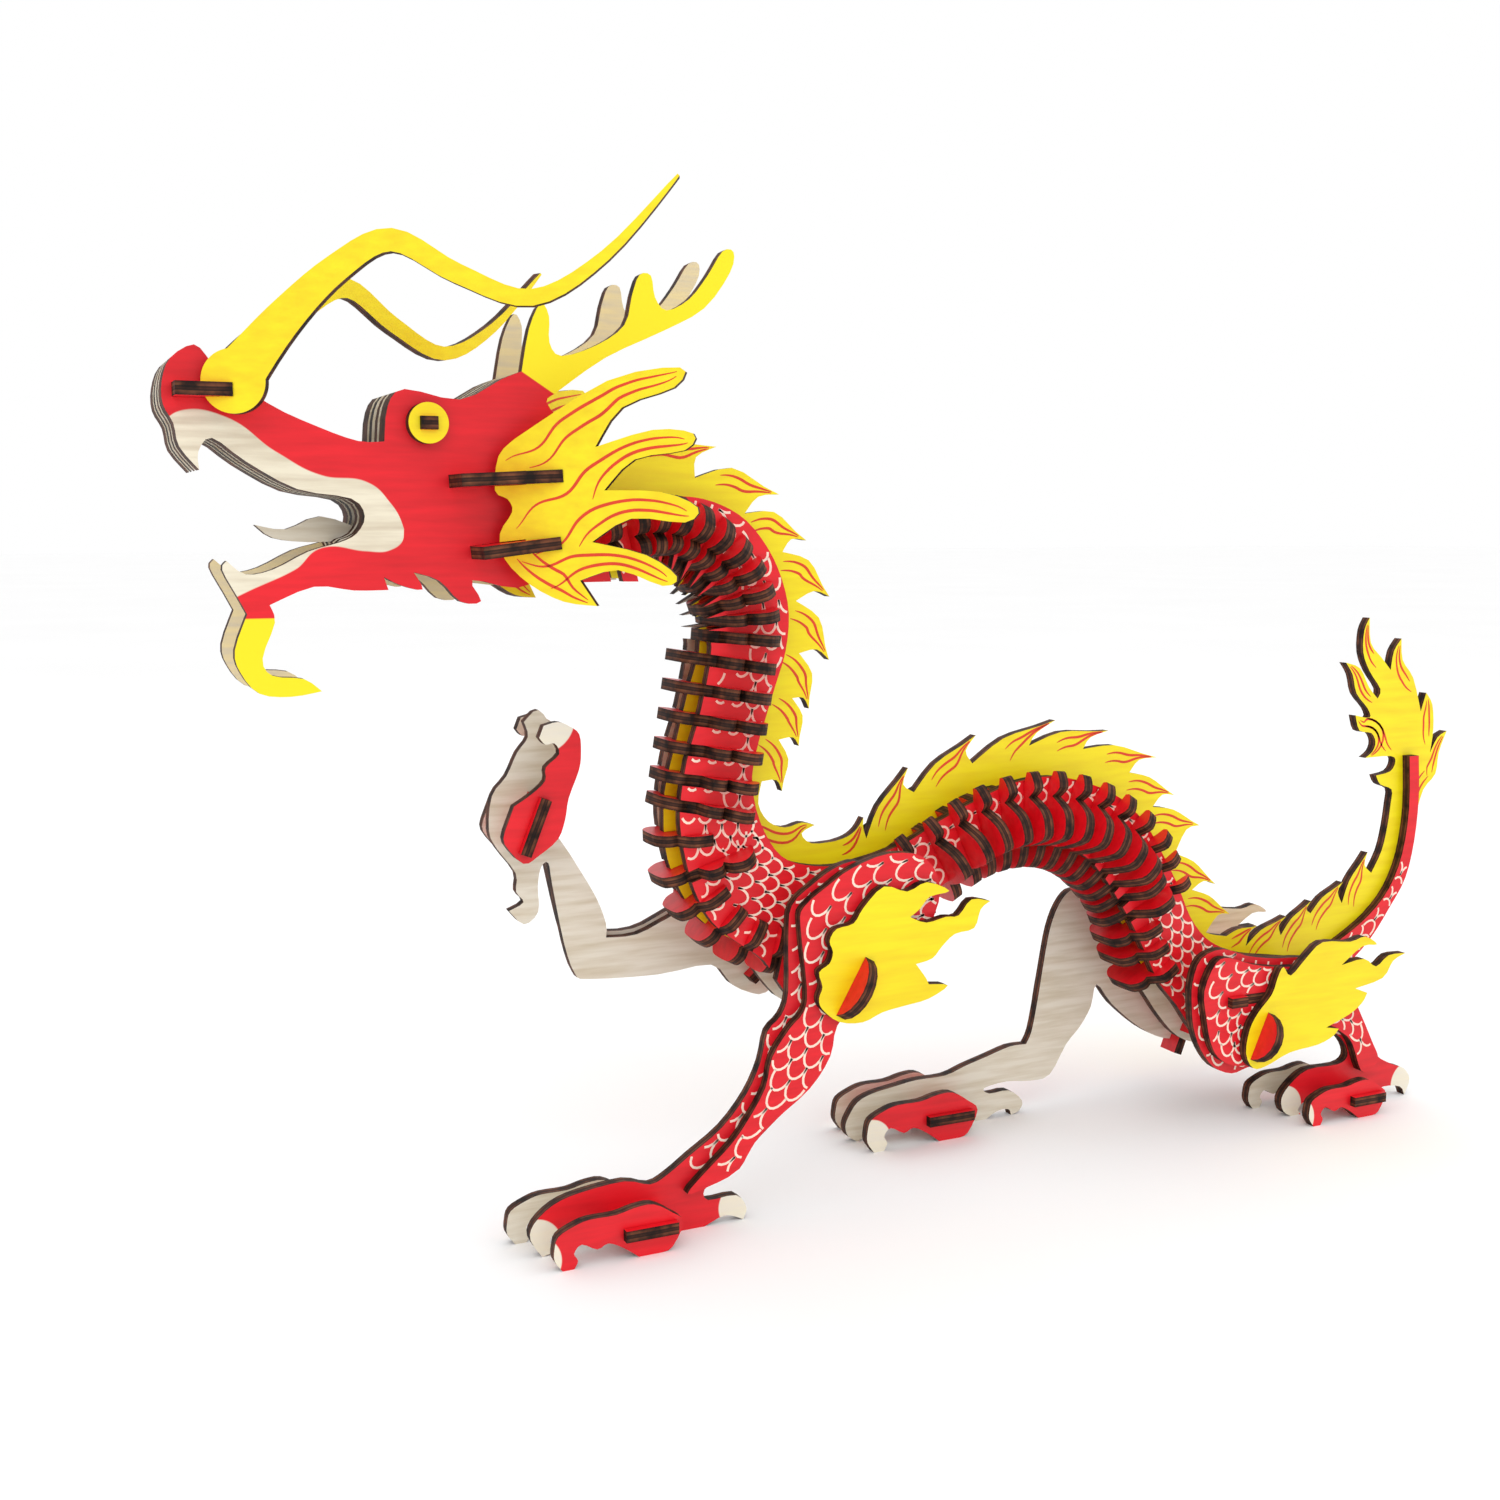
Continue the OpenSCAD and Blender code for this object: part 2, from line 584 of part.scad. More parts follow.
module claw_board(foot, forward, bar) {
    on_foot(foot) difference() {
        translate([-forward, 0]) scale(foot[2]) outline(paw);
        bar_slot(bar);
    }
}
module claws(side, foot) {
    color(red) side_board(side, claw_inner_gap) claw_board(foot, foot[4], narrow_bar_of(foot));
    color(red) side_board(side, claw_outer_gap) claw_board(foot, 0, foot_bar_of(foot));
}
module foot_bar(side, foot) {
    bar = foot_bar_of(foot);
    narrow = narrow_bar_of(foot);
    proud = 2;
    from = claw_inner_gap - proud;
    shoulder = claw_inner_gap + ply + 1;
    to = claw_outer_gap + ply + proud;
    color(red) translate([foot[0], 0, foot[1]]) rotate([0, -foot[3], 0]) {
        translate([bar[0], side > 0 ? shoulder : -to, bar[1]]) cube([bar[2], to - shoulder, ply]);
        translate([bar[0], side > 0 ? from : -shoulder - 1, bar[1]])
            cube([narrow[2], shoulder + 1 - from, ply]);
    }
}

front_left_inner = [
    [-31, 93], [-38, 92], [-45, 88], [-51, 83], [-52, 75], [-52, 60], [-54, 54], [-58, 50],
    [-60, 42], [-64, 34], [-71, 26], [-80, 20], [-86, 16], [-91, 14], [-98, 16], [-110, 15],
    [-117, 13], [-122, 9], [-123, 5], [-120, 0, 1], [-117, 1], [-118, 4], [-115, 6], [-110, 5],
    [-105, 5], [-101, 3], [-97, 0, 1], [-76, 0, 1], [-70, 2], [-65, 0, 1], [-64, 3], [-67, 7],
    [-75, 7], [-76, 10], [-72, 12], [-66, 14], [-62, 20], [-55, 26], [-46, 33], [-40, 40], [-38, 50],
    [-32, 56], [-24, 62], [-19, 70], [-20, 80], [-24, 88]];
front_left_outer = [
    [-24, 95], [-35, 92], [-42, 88], [-49, 83], [-50, 78], [-48, 61], [-49, 55], [-53, 51],
    [-58, 44], [-60, 36], [-65, 28], [-70, 22], [-77, 16], [-82, 11], [-76, 12], [-68, 15],
    [-62, 23], [-57, 27], [-47, 34], [-41, 42], [-39, 50], [-32, 57], [-22, 63], [-12, 73],
    [-8, 84], [-13, 93]];
front_right_inner = [
    [-33, 76], [-44, 81], [-58, 78], [-70, 74], [-80, 70], [-89, 70, 1], [-89, 74], [-92, 82],
    [-99, 94], [-103, 101], [-101, 108], [-101, 118], [-103, 127], [-107, 133], [-111, 130, 1],
    [-110, 126], [-113, 122], [-116, 116], [-120, 111], [-121, 102], [-119, 97], [-114, 90],
    [-114, 85], [-112, 82], [-116, 80, 1], [-112, 76], [-108, 79], [-108, 86], [-107, 91],
    [-105, 92], [-104, 86], [-101, 70], [-98, 61], [-94, 59], [-74, 58], [-58, 59], [-52, 53],
    [-47, 50], [-41, 49], [-33, 56], [-26, 64], [-26, 72]];
front_right_outer = [
    [-34, 77], [-44, 83], [-56, 81], [-70, 75], [-80, 71], [-90, 72], [-92, 80], [-97, 88],
    [-101, 95], [-105, 95], [-104, 87], [-100, 70], [-96, 62], [-88, 61], [-60, 61], [-54, 57],
    [-46, 53], [-38, 55], [-30, 62], [-28, 70]];
rear_left_inner = [
    [103, 18], [97, 17], [90, 20], [85, 26], [82, 33], [81, 40], [81, 47], [84, 54], [92, 56],
    [101, 53], [112, 51], [124, 50], [135, 47], [142, 40], [146, 32], [151, 22], [155, 15],
    [162, 11], [167, 9], [170, 5], [168, 0, 1], [166, 3], [159, 4], [153, 2], [149, 0, 1],
    [138, 0, 1], [133, 3], [127, 4], [124, 2], [125, 0, 1], [121, 0, 1], [118, 2], [117, 6],
    [120, 10], [127, 14], [139, 14], [143, 16], [142, 20], [138, 24], [132, 26], [122, 23],
    [112, 19]];
rear_left_outer = [
    [100, 20], [94, 21], [89, 24], [86, 29], [84, 37], [83, 45], [87, 53], [92, 54], [101, 51],
    [112, 49], [124, 48], [133, 44], [140, 38], [145, 30], [150, 21], [153, 15], [150, 12],
    [146, 12], [142, 21], [138, 25], [131, 28], [121, 25], [111, 21]];
rear_right_inner = [
    [73, 68], [68, 69], [63, 69], [59, 65], [56, 58], [54, 48], [52, 36], [50, 26], [48, 22, 1],
    [42, 22], [34, 20], [26, 18], [19, 16], [9, 16], [1, 15], [-6, 14], [-11, 12], [-14, 8],
    [-15, 5], [-14, 2], [-11, 0, 1], [-9, 1], [-9, 4], [-6, 6], [-1, 4], [5, 5], [9, 3],
    [12, 0, 1], [34, 0, 1], [38, 2], [42, 2], [43, 0, 1], [46, 1], [47, 4], [42, 8], [35, 8],
    [33, 10], [41, 11], [50, 10], [57, 11], [63, 20], [68, 25], [72, 31], [74, 38], [80, 31],
    [91, 22], [101, 17], [109, 17], [114, 22], [115, 32], [112, 42], [104, 50], [96, 53],
    [87, 55], [80, 61]];
rear_right_outer = [
    [73, 65], [68, 66], [64, 66], [60, 62], [58, 55], [56, 46], [54, 35], [53, 25], [50, 18],
    [47, 15], [51, 12], [56, 13], [60, 18], [65, 25], [69, 31], [73, 41], [80, 36], [91, 26],
    [101, 21], [107, 21], [111, 25], [111, 33], [108, 40], [101, 46], [94, 50], [86, 53], [79, 59]];

module leg_board(side, gap, points, foot, peg_at, has_foot, with_bar) {
    color(red) side_board(side, gap) difference() {
        outline(points);
        peg_slot(peg_at);
        if (has_foot) on_foot(foot) bar_slot(foot_bar_of(foot));
        if (with_bar) bar_slot(hip_bar_at);
        if (side > 0 && has_foot) bar_slot(with_bar ? hip_tab_at : shoulder_tab_at);
    }
}

// ---------- flames, pegs and the hip bar ----------

shoulder_flame_outline = [
    [-43, 74], [-41, 77], [-36, 78], [-33, 82], [-27, 87], [-20, 85], [-14, 87], [-7, 84], [-13, 83],
    [-16, 80], [-19, 78, 1], [-14, 76], [-8, 77], [-4, 77], [0, 81], [6, 80, 1], [3, 78], [1, 73],
    [-5, 72], [-9, 69], [-12, 66], [-17, 65, 1], [-14, 61], [-13, 59, 1], [-7, 58], [-13, 55],
    [-20, 54], [-27, 53], [-33, 51], [-40, 52], [-45, 56], [-46, 59], [-45, 62], [-46, 66],
    [-43, 68], [-42, 71]];
hip_flame_outline = [
    [110, 50], [113, 47], [119, 52], [125, 56], [136, 55], [142, 56], [147, 53], [141, 53],
    [133, 48, 1], [142, 49], [147, 46], [152, 49], [159, 49, 1], [154, 47], [150, 42], [139, 40, 1],
    [144, 38, 1], [142, 35], [137, 32], [128, 29, 1], [133, 28, 1], [131, 26], [125, 24], [114, 23],
    [105, 20], [100, 20], [97, 25], [98, 32], [101, 37], [106, 42], [108, 47]];

module flame(side, points, peg_at) {
    color(yellow) side_board(side, flame_gap) difference() {
        outline(points);
        peg_slot(peg_at);
    }
}

// The hip bar shows in front of the thigh and stops flush under the flame
module hip_bar() {
    shown = 9;
    color(red) cross_bar(hip_bar_at) union() {
        translate([0, -flame_gap]) square([hip_bar_at[2], 2 * flame_gap]);
        translate([0, -flame_gap - 2]) square([shown - 3, 2 * flame_gap + 4]);
    }
}

// Short tabs in the right inner leg boards, standing out on the body's side
module leg_tab(bar) {
    shown = 4;
    color(red) cross_bar(bar) translate([0, leg_gap - shown]) square([bar[2], shown + ply]);
}

// ---------- assembly ----------

crest_front();
crest_mid();
crest_tail();
tail_flame();
neck_side(left);  // neck_side_left
neck_side(right);  // neck_side_right
back_side(left);  // back_side_left
back_side(right);  // back_side_right
tail_side(left);  // tail_side_left
tail_side(right);  // tail_side_right
head_side(left);  // head_side_left
head_side(right);  // head_side_right
head_inner(left);  // head_inner_left
head_inner(right);  // head_inner_right
head_core();
tongue();
nose_bar();
whisker(left);  // whisker_left
whisker(right);  // whisker_right
mane(left);  // mane_left
mane(right);  // mane_right
mane_bar(mane_upper_at);  // mane_bar_upper
mane_bar(mane_lower_at);  // mane_bar_lower
eye_ring(left);  // eye_ring_left
eye_ring(right);  // eye_ring_right
eye_bar();
leg_board(left, leg_gap, front_left_inner, front_left_foot, shoulder_peg_at, true, false);  // front_left_leg_inner
leg_board(left, outer_leg_gap, front_left_outer, front_left_foot, shoulder_peg_at, false, false);  // front_left_leg_outer
claws(left, front_left_foot);  // front_left_claws
foot_bar(left, front_left_foot);  // front_left_foot_bar
leg_board(right, leg_gap, front_right_inner, front_right_foot, shoulder_peg_at, true, false);  // front_right_leg_inner
leg_board(right, outer_leg_gap, front_right_outer, front_right_foot, shoulder_peg_at, false, false);  // front_right_leg_outer
claws(right, front_right_foot);  // front_right_claws
foot_bar(right, front_right_foot);  // front_right_foot_bar
leg_board(left, leg_gap, rear_left_inner, rear_left_foot, hip_peg_at, true, true);  // rear_left_leg_inner
leg_board(left, outer_leg_gap, rear_left_outer, rear_left_foot, hip_peg_at, false, true);  // rear_left_leg_outer
claws(left, rear_left_foot);  // rear_left_claws
foot_bar(left, rear_left_foot);  // rear_left_foot_bar
leg_board(right, leg_gap, rear_right_inner, rear_right_foot, hip_peg_at, true, true);  // rear_right_leg_inner
leg_board(right, outer_leg_gap, rear_right_outer, rear_right_foot, hip_peg_at, false, true);  // rear_right_leg_outer
claws(right, rear_right_foot);  // rear_right_claws
foot_bar(right, rear_right_foot);  // rear_right_foot_bar
flame(left, shoulder_flame_outline, shoulder_peg_at);  // shoulder_flame_left
flame(right, shoulder_flame_outline, shoulder_peg_at);  // shoulder_flame_right
flame(left, hip_flame_outline, hip_peg_at);  // hip_flame_left
flame(right, hip_flame_outline, hip_peg_at);  // hip_flame_right
color(red) peg(shoulder_peg_at);  // shoulder_peg
color(red) peg(hip_peg_at);  // hip_peg
hip_bar();
leg_tab(shoulder_tab_at);  // shoulder_tab
leg_tab(hip_tab_at);  // hip_tab
neck_ribs(0, 8);  // neck_ribs_upper
neck_ribs(9, neck_count - 1);  // neck_ribs_lower
chest_ribs();
back_ribs(0, 7);  // back_ribs_front
back_ribs(8, back_count - 1);  // back_ribs_rear
hip_ribs();
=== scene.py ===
"""Looks for the slot-together plywood dragon: printed boards, laser-burnt edges, ink lines, studio."""

import math

import bpy
import numpy as np
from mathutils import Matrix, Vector
from mathutils.bvhtree import BVHTree


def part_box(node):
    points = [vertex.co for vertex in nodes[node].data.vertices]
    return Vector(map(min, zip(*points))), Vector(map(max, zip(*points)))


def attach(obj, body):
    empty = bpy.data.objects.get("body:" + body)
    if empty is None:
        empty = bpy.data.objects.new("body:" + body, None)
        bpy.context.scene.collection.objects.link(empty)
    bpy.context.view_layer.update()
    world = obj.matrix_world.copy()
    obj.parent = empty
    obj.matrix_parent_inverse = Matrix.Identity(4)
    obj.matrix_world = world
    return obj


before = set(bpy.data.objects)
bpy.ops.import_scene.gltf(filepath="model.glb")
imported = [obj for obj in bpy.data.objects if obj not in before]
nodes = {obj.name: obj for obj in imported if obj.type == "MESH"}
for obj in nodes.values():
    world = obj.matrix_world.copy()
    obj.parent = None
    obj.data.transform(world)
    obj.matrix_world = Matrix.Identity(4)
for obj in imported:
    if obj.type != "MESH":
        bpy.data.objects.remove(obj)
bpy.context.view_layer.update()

MM = 0.001
# Corners that round to the same place on this grid are one corner
WELD = 0.01 * MM
# A polygon belongs to a broad face if the cosine between its normal and the board's is above this
BROAD = 0.9


# ---------- reading the boards ----------


def place_key(co):
    """The same key for corners that are one corner."""
    return tuple(round(x / WELD) for x in co)


def board_labels(mesh):
    """For each polygon, which separate board of the node it belongs to."""
    places = {}
    welded = [places.setdefault(place_key(v.co), len(places)) for v in mesh.vertices]
    parent = list(range(len(places)))

    def root(i):
        while parent[i] != i:
            parent[i] = parent[parent[i]]
            i = parent[i]
        return i

    for polygon in mesh.polygons:
        first = root(welded[polygon.vertices[0]])
        for v in polygon.vertices[1:]:
            parent[root(welded[v])] = first
    return [root(welded[polygon.vertices[0]]) for polygon in mesh.polygons]


def facing(mesh, polygons):
    """The direction that most of a board's surface looks along, whichever way round."""
    areas = {}
    for p in polygons:
        n = mesh.polygons[p].normal
        sign = 1 if (round(n.x, 2), round(n.y, 2), round(n.z, 2)) > (0, 0, 0) else -1
        key = tuple(round(sign * x, 2) for x in n)
        areas.setdefault(key, [0.0, Vector()])
        areas[key][0] += mesh.polygons[p].area
        areas[key][1] += sign * n * mesh.polygons[p].area
    return max(areas.values(), key=lambda a: a[0])[1].normalized()


class Board:
    """One flat board of a node: its polygons, the way its printed face looks, and its corners."""

    def __init__(self, node, polygons, towards):
        mesh = nodes[node].data
        self.node = node
        self.polygons = polygons
        normal = facing(mesh, polygons)
        self.normal = normal if normal.dot(towards) >= 0 else -normal
        self.vertices = sorted({v for p in polygons for v in mesh.polygons[p].vertices})
        depths = [mesh.vertices[v].co.dot(self.normal) for v in self.vertices]
        self.low, self.high = min(depths), max(depths)
        points = [mesh.vertices[v].co for v in self.vertices]
        self.centre = sum(points, Vector()) / len(points)

    def side(self, polygon):
        """1 on the printed face, -1 on the other face, 0 on the cut edge."""
        along = nodes[self.node].data.polygons[polygon].normal.dot(self.normal)
        return 1 if along > BROAD else -1 if along < -BROAD else 0

    def face(self, side):
        """Corner points and polygons of one broad face."""
        mesh = nodes[self.node].data
        chosen = [p for p in self.polygons if self.side(p) == side]
        points, index, faces = [], {}, []
        for p in chosen:
            face = []
            for v in mesh.polygons[p].vertices:
                co = mesh.vertices[v].co
                key = place_key(co)
                if key not in index:
                    index[key] = len(points)
                    points.append(co.copy())
                face.append(index[key])
            faces.append(face)
        return points, faces


# Ways that a printed face looks. Ribs look mostly to the head, and bars, pegs and tabs mostly up
TO_HEAD = Vector((-1, 0, 0.6))
UPWARDS = Vector((-0.6, 0, 1))
TO_RIGHT = Vector((0, 1, 0))
TO_LEFT = Vector((0, -1, 0))


def outwards(node):
    """Where a node's printed faces look. A board in the middle plane counts as looking left."""
    if "ribs" in node:
        return TO_HEAD
    if "bar" in node or "peg" in node or "tab" in node:
        return UPWARDS
    if "right" in node:
        return TO_RIGHT
    return TO_LEFT


def boards_in(node):
    mesh = nodes[node].data
    groups = {}
    for polygon, label in enumerate(board_labels(mesh)):
        groups.setdefault(label, []).append(polygon)
    found = [Board(node, polygons, outwards(node)) for polygons in groups.values()]
    if "claws" in node:
        # The claw board nearer the middle plane is printed on the side that looks inwards
        inner = min(found, key=lambda b: abs(b.centre.y))
        inner.normal = -inner.normal
        inner.low, inner.high = -inner.high, -inner.low
    if node == "head_core":
        # low and high aren't turned with the normal, so the right core board's edge shows no plies
        for board in found:
            board.normal = Vector((0, math.copysign(1, board.centre.y), 0))
    return found


boards = {node: boards_in(node) for node in nodes}


# ---------- materials ----------


def linear(channel):
    """One sRGB channel, 0 to 255, as its linear share."""
    share = channel / 255
    return share / 12.92 if channel <= 10 else ((share + 0.055) / 1.055) ** 2.4


def rgb(r, g, b):
    """An sRGB colour, 0 to 255, as the linear colour that a shader takes."""
    return tuple(linear(channel) for channel in (r, g, b)) + (1.0,)


RED = rgb(230, 18, 34)
RED_DEEP = rgb(206, 10, 26)
YELLOW = rgb(247, 226, 8)
YELLOW_DEEP = rgb(236, 206, 6)
WOOD = rgb(232, 225, 210)
WOOD_DARK = rgb(207, 194, 170)
IVORY = rgb(237, 229, 206)
TAN = rgb(232, 212, 158)
BURNT = rgb(80, 44, 30)
BURNT_DARK = rgb(34, 20, 16)
BURNT_LIGHT = rgb(128, 76, 50)
SCALE_INK = rgb(255, 226, 208)
FLAME_INK = rgb(222, 62, 24)
# Scorch marks multiply the colour of a cut edge by something between these
CHAR = rgb(90, 82, 80)
UNCHARRED = rgb(255, 250, 245)
FLOOR_GREY = rgb(253, 253, 253)
FLOOR_WHITE = rgb(255, 255, 255)


class Shader:
    """A small builder of node materials."""

    def __init__(self, name, roughness, specular=0.4):
        self.material = bpy.data.materials.new(name)
        self.material.use_nodes = True
        self.tree = self.material.node_tree
        self.bsdf = self.tree.nodes["Principled BSDF"]
        self.bsdf.inputs["Roughness"].default_value = roughness
        self.bsdf.inputs["Specular IOR Level"].default_value = specular
        self.place = self.add("ShaderNodeTexCoord").outputs["Object"]

    def add(self, kind, links=None, values=None, **settings):
        node = self.tree.nodes.new(kind)
        for key, value in settings.items():
            setattr(node, key, value)
        for key, value in (values or {}).items():
            node.inputs[key].default_value = value
        for key, socket in (links or {}).items():
            self.tree.links.new(socket, node.inputs[key])
        return node

    def noise(self, scale, stretch=(1, 1, 1), detail=4.0):
        mapping = self.add("ShaderNodeMapping", {"Vector": self.place}, {"Scale": stretch})
        texture = self.add(
            "ShaderNodeTexNoise", {"Vector": mapping.outputs[0]}, {"Scale": scale, "Detail": detail})
        return texture.outputs["Fac"]

    def math(self, operation, a, b=None):
        node = self.add("ShaderNodeMath", operation=operation)
        for socket, value in zip(node.inputs, (a, b)):
            if value is None:
                continue
            if isinstance(value, (int, float)):
                socket.default_value = value
            else:
                self.tree.links.new(value, socket)
        return node.outputs[0]

    def ramp(self, factor, stops):
        node = self.add("ShaderNodeValToRGB", {"Fac": factor})
        elements = node.color_ramp.elements
        while len(elements) < len(stops):
            elements.new(0.5)
        for element, (position, colour) in zip(elements, stops):
            element.position = position
            element.color = colour
        return node.outputs["Color"]

    def mix(self, factor, a, b, blend="MIX"):
        node = self.add("ShaderNodeMix", data_type="RGBA", blend_type=blend)
        for socket, value in ((node.inputs[0], factor), (node.inputs[6], a), (node.inputs[7], b)):
            if isinstance(value, (int, float, tuple)):
                socket.default_value = value
            else:
                self.tree.links.new(value, socket)
        return node.outputs[2]

    def axis(self, name):
        """One object coordinate, in millimetres."""
        split = self.add("ShaderNodeSeparateXYZ", {"Vector": self.place})
        return self.math("MULTIPLY", split.outputs[name], 1 / MM)

    def inside(self, value, soft=0.15):
        """1 where the value is above zero, with a printed line's slightly soft edge."""
        node = self.add("ShaderNodeMapRange", {"Value": value}, {"From Min": -soft, "From Max": soft})
        return node.outputs[0]

    def curve(self, value, points):
        """A smooth line through points in order of x: x in millimetres gives z in millimetres."""
        low, high = points[0][0], points[-1][0]
        bottom = min(z for _, z in points)
        top = max(z for _, z in points)
        share = self.add("ShaderNodeMapRange", {"Value": value}, {"From Min": low, "From Max": high})
        node = self.add("ShaderNodeFloatCurve", {"Value": share.outputs[0]})
        line = node.mapping.curves[0]
        for _ in range(len(points) - 2):
            line.points.new(0.5, 0.5)
        for point, (x, z) in zip(line.points, points):
            point.location = ((x - low) / (high - low), (z - bottom) / (top - bottom))
        node.mapping.update()
        return self.math("ADD", self.math("MULTIPLY", node.outputs[0], top - bottom), bottom)

    def bump(self, height, distance, strength):
        node = self.add("ShaderNodeBump", {"Height": height}, {"Distance": distance, "Strength": strength})
        self.tree.links.new(node.outputs[0], self.bsdf.inputs["Normal"])

    def finish(self, colour):
        self.tree.links.new(colour, self.bsdf.inputs["Base Color"])
        return self.material


def wood_colour(shader, pale, dark):
    """Birch veneer: long fine grain with a few broader, warmer bands."""
    grain = shader.noise(520, stretch=(0.09, 1, 1), detail=6.0)
    bands = shader.noise(60, stretch=(0.15, 1, 1), detail=2.0)
    veneer = shader.ramp(grain, [(0.3, dark), (0.62, pale)])
    return shader.mix(shader.math("MULTIPLY", bands, 0.25), veneer, dark)


def print_colour(shader, lit, deep):
    """Printed ink: nearly even, with the veneer's grain faintly through it."""
    grain = shader.noise(480, stretch=(0.12, 1, 1), detail=5.0)
    cloud = shader.noise(24, detail=2.0)
    amount = shader.math("ADD", shader.math("MULTIPLY", grain, 0.6), shader.math("MULTIPLY", cloud, 0.4))
    return shader.ramp(amount, [(0.32, deep), (0.6, lit)])


def veneer_bump(shader, depth):
    shader.bump(shader.noise(700, stretch=(0.15, 1, 1), detail=5.0), depth, strength=0.4)


def printed(name, lit, deep, regions=None):
    """A printed face. regions(shader, colour) may print parts of it in other colours."""
    shader = Shader(name, roughness=0.42)
    colour = print_colour(shader, lit, deep)
    if regions:
        colour = regions(shader, colour)
    veneer_bump(shader, 0.02 * MM)
    return shader.finish(colour)


def bare(name, pale, dark):
    shader = Shader(name, roughness=0.62, specular=0.3)
    veneer_bump(shader, 0.04 * MM)
    return shader.finish(wood_colour(shader, pale, dark))


def burnt(name):
    """A laser-cut edge: scorched plies with darker glue lines, and streaks where the beam stepped."""
    shader = Shader(name, roughness=0.7, specular=0.25)
    depth = shader.add("ShaderNodeAttribute", attribute_name="ply").outputs["Fac"]
    wander = shader.math("MULTIPLY", shader.math("SUBTRACT", shader.noise(120), 0.5), 0.1)
    plies = shader.ramp(
        shader.math("ADD", depth, wander),
        [(0.0, BURNT_DARK), (0.07, BURNT), (0.3, BURNT_LIGHT), (0.37, BURNT_DARK), (0.5, BURNT),
         (0.63, BURNT_DARK), (0.72, BURNT_LIGHT), (0.93, BURNT), (1.0, BURNT_DARK)])
    char = shader.ramp(shader.noise(260, detail=5.0), [(0.35, CHAR), (0.65, UNCHARRED)])
    shader.bump(shader.noise(900, detail=3.0), 0.08 * MM, strength=0.6)
    return shader.finish(shader.mix(1.0, plies, char, "MULTIPLY"))


# Where the head's other colours begin, as points [x, z] in millimetres chosen for a smooth printed line
UPPER_LIP = [
    (-200, 203), (-195, 206), (-188, 205), (-176, 197), (-166, 192), (-157, 191), (-151, 186), (-148, 180)]
LOWER_LIP = [(-190, 163), (-184, 166), (-173, 171), (-166, 176), (-157, 175), (-152, 175), (-148, 180)]
LIP_CORNER = UPPER_LIP[-1][0]
BEARD_TOP = 160
BEARD_END = -163
# The antler starts beyond the slanting line ANTLER_X * x + ANTLER_Z * z = ANTLER_START, behind the brow
ANTLER_X = 5
ANTLER_Z = 8
ANTLER_START = 1141


def head_regions(shader, colour):
    """Cream lips, a yellow beard under the chin and yellow antlers on the red head."""
    x, z = shader.axis("X"), shader.axis("Z")
    below_upper = shader.inside(shader.math("SUBTRACT", shader.curve(x, UPPER_LIP), z))
    above_lower = shader.inside(shader.math("SUBTRACT", z, shader.curve(x, LOWER_LIP)))
    lips = shader.math("MULTIPLY", below_upper, above_lower)
    lips = shader.math("MULTIPLY", lips, shader.inside(shader.math("SUBTRACT", LIP_CORNER, x)))
    colour = shader.mix(lips, colour, wood_colour(shader, IVORY, WOOD_DARK))
    low = shader.inside(shader.math("SUBTRACT", BEARD_TOP, z))
    front = shader.inside(shader.math("SUBTRACT", BEARD_END, x))
    beard = shader.math("MULTIPLY", low, front)
    colour = shader.mix(beard, colour, YELLOW)
    slant = shader.math("ADD", shader.math("MULTIPLY", x, ANTLER_X), shader.math("MULTIPLY", z, ANTLER_Z))
    antler = shader.inside(shader.math("SUBTRACT", slant, ANTLER_START), soft=1.0)
    return shader.mix(antler, colour, YELLOW)


def claw_regions(tips):
    """Cream claws: round spots [x, z, radius] in millimetres at the ends of the toes and the heel."""

    def regions(shader, colour):
        x, z = shader.axis("X"), shader.axis("Z")
        cream = wood_colour(shader, IVORY, WOOD)
        for cx, cz, radius in tips:
            dx = shader.math("SUBTRACT", x, cx)
            dz = shader.math("SUBTRACT", z, cz)
            square = shader.math("ADD", shader.math("MULTIPLY", dx, dx), shader.math("MULTIPLY", dz, dz))
            reach = shader.math("SUBTRACT", radius, shader.math("SQRT", square))
            colour = shader.mix(shader.inside(reach), colour, cream)
        return colour

    return regions


red = printed("red_print", RED, RED_DEEP)
yellow = printed("yellow_print", YELLOW, YELLOW_DEEP)
head = printed("head_print", RED, RED_DEEP, head_regions)
wood = bare("bare_veneer", WOOD, WOOD_DARK)
tan = bare("tan_veneer", TAN, WOOD_DARK)
edge = burnt("burnt_edge")

# Radii in millimetres of the cream spots on the claws, which sit at the boards' own ends
TOE_SPOT = 7
HEEL_SPOT = 7
RAISED_TOE_SPOT = 9
# The spots [x, z, radius] of the raised foot's leg board: its toes above and its heel below
RAISED_LEG_SPOTS = [(-106, 134, 9), (-116, 80, 6)]
# The ends of a standing foot are found among its corners below this height
FOOT_HEIGHT = 6 * MM


def foot_spots(node):
    """Spots at the toe end, and on a leg board at the heel end too."""
    low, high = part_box(node)
    if node == "front_right_claws":
        # Raised foot: its toes are the highest part
        return [((low.x + high.x) / 2 / MM, high.z / MM + 1, RAISED_TOE_SPOT)]
    if node.startswith("front_right"):
        return RAISED_LEG_SPOTS
    corners = [v.co for v in nodes[node].data.vertices if v.co.z < FOOT_HEIGHT]
    toe = min(c.x for c in corners) / MM
    heel = max(c.x for c in corners) / MM
    spots = [(toe + 1, 3, TOE_SPOT)]
    if "claws" not in node:
        spots.append((heel - 1, 4, HEEL_SPOT))
    return spots


